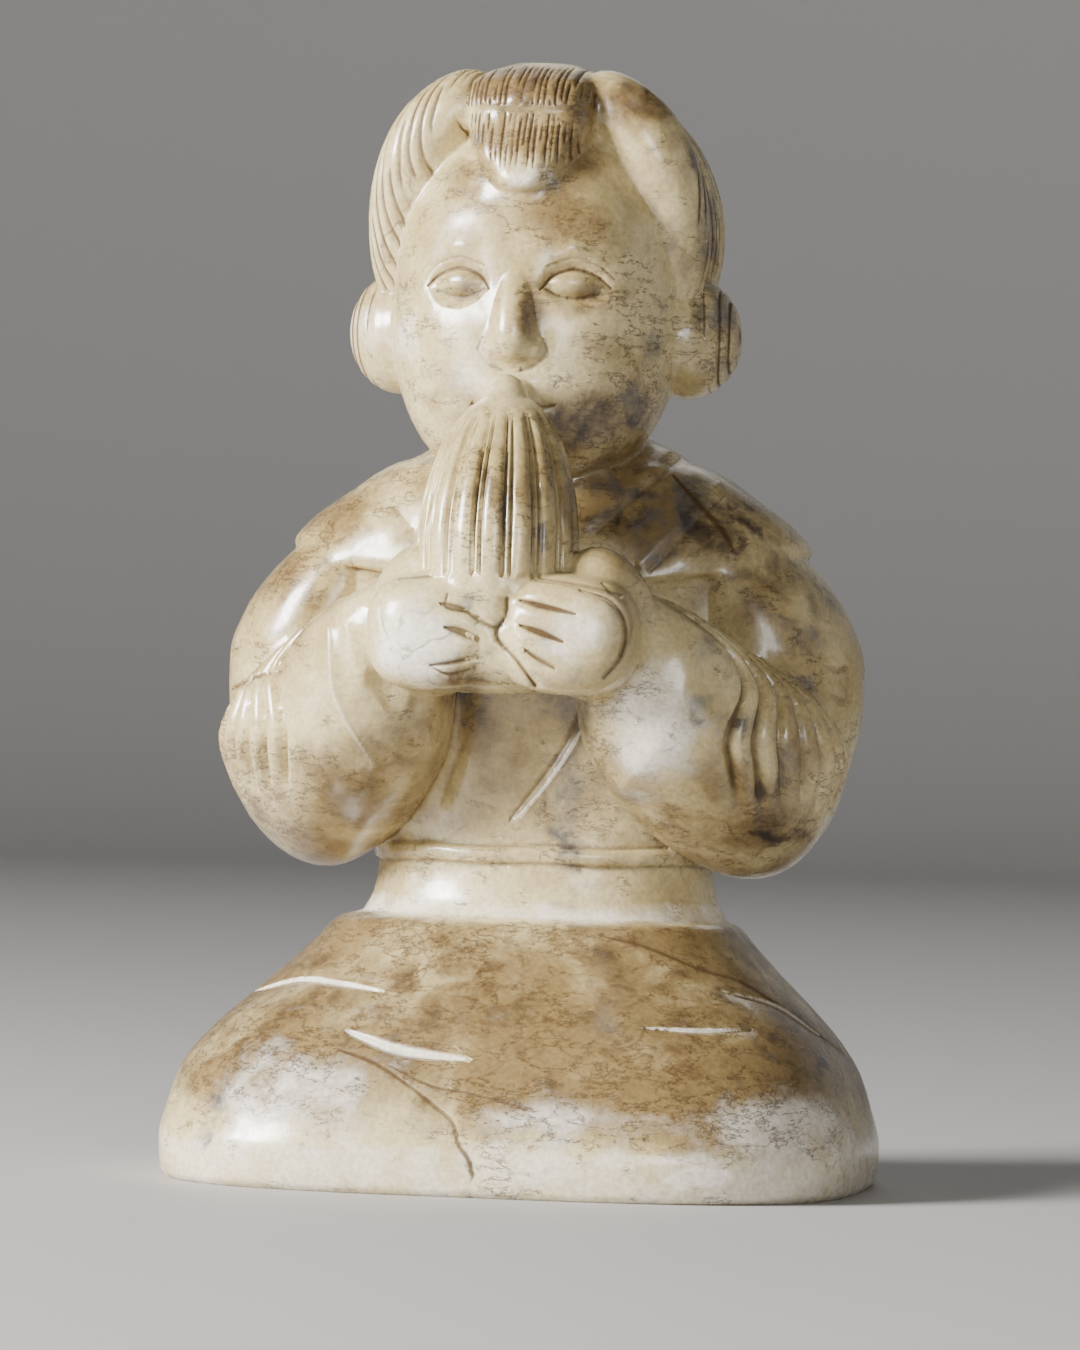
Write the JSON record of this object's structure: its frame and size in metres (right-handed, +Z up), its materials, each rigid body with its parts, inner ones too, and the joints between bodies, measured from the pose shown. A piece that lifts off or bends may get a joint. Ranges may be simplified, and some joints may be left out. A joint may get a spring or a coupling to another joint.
{
  "type": "jade musician figure",
  "caption": "Small carved jade figure of a kneeling musician who holds a mouth organ to the lips with both hands.",
  "frame": {"origin": "centre of the flat underside, on the surface that the figure stands on", "axes": "+Z up, the figure faces -Y, its left hand is towards +X"},
  "size_m": [0.094, 0.0776, 0.15],
  "materials": {
    "jade": "polished cream jade with brown veins and clouds"
  },
  "bodies": {
    "root": {"musician_figure": "jade"}
  },
  "joints": []
}
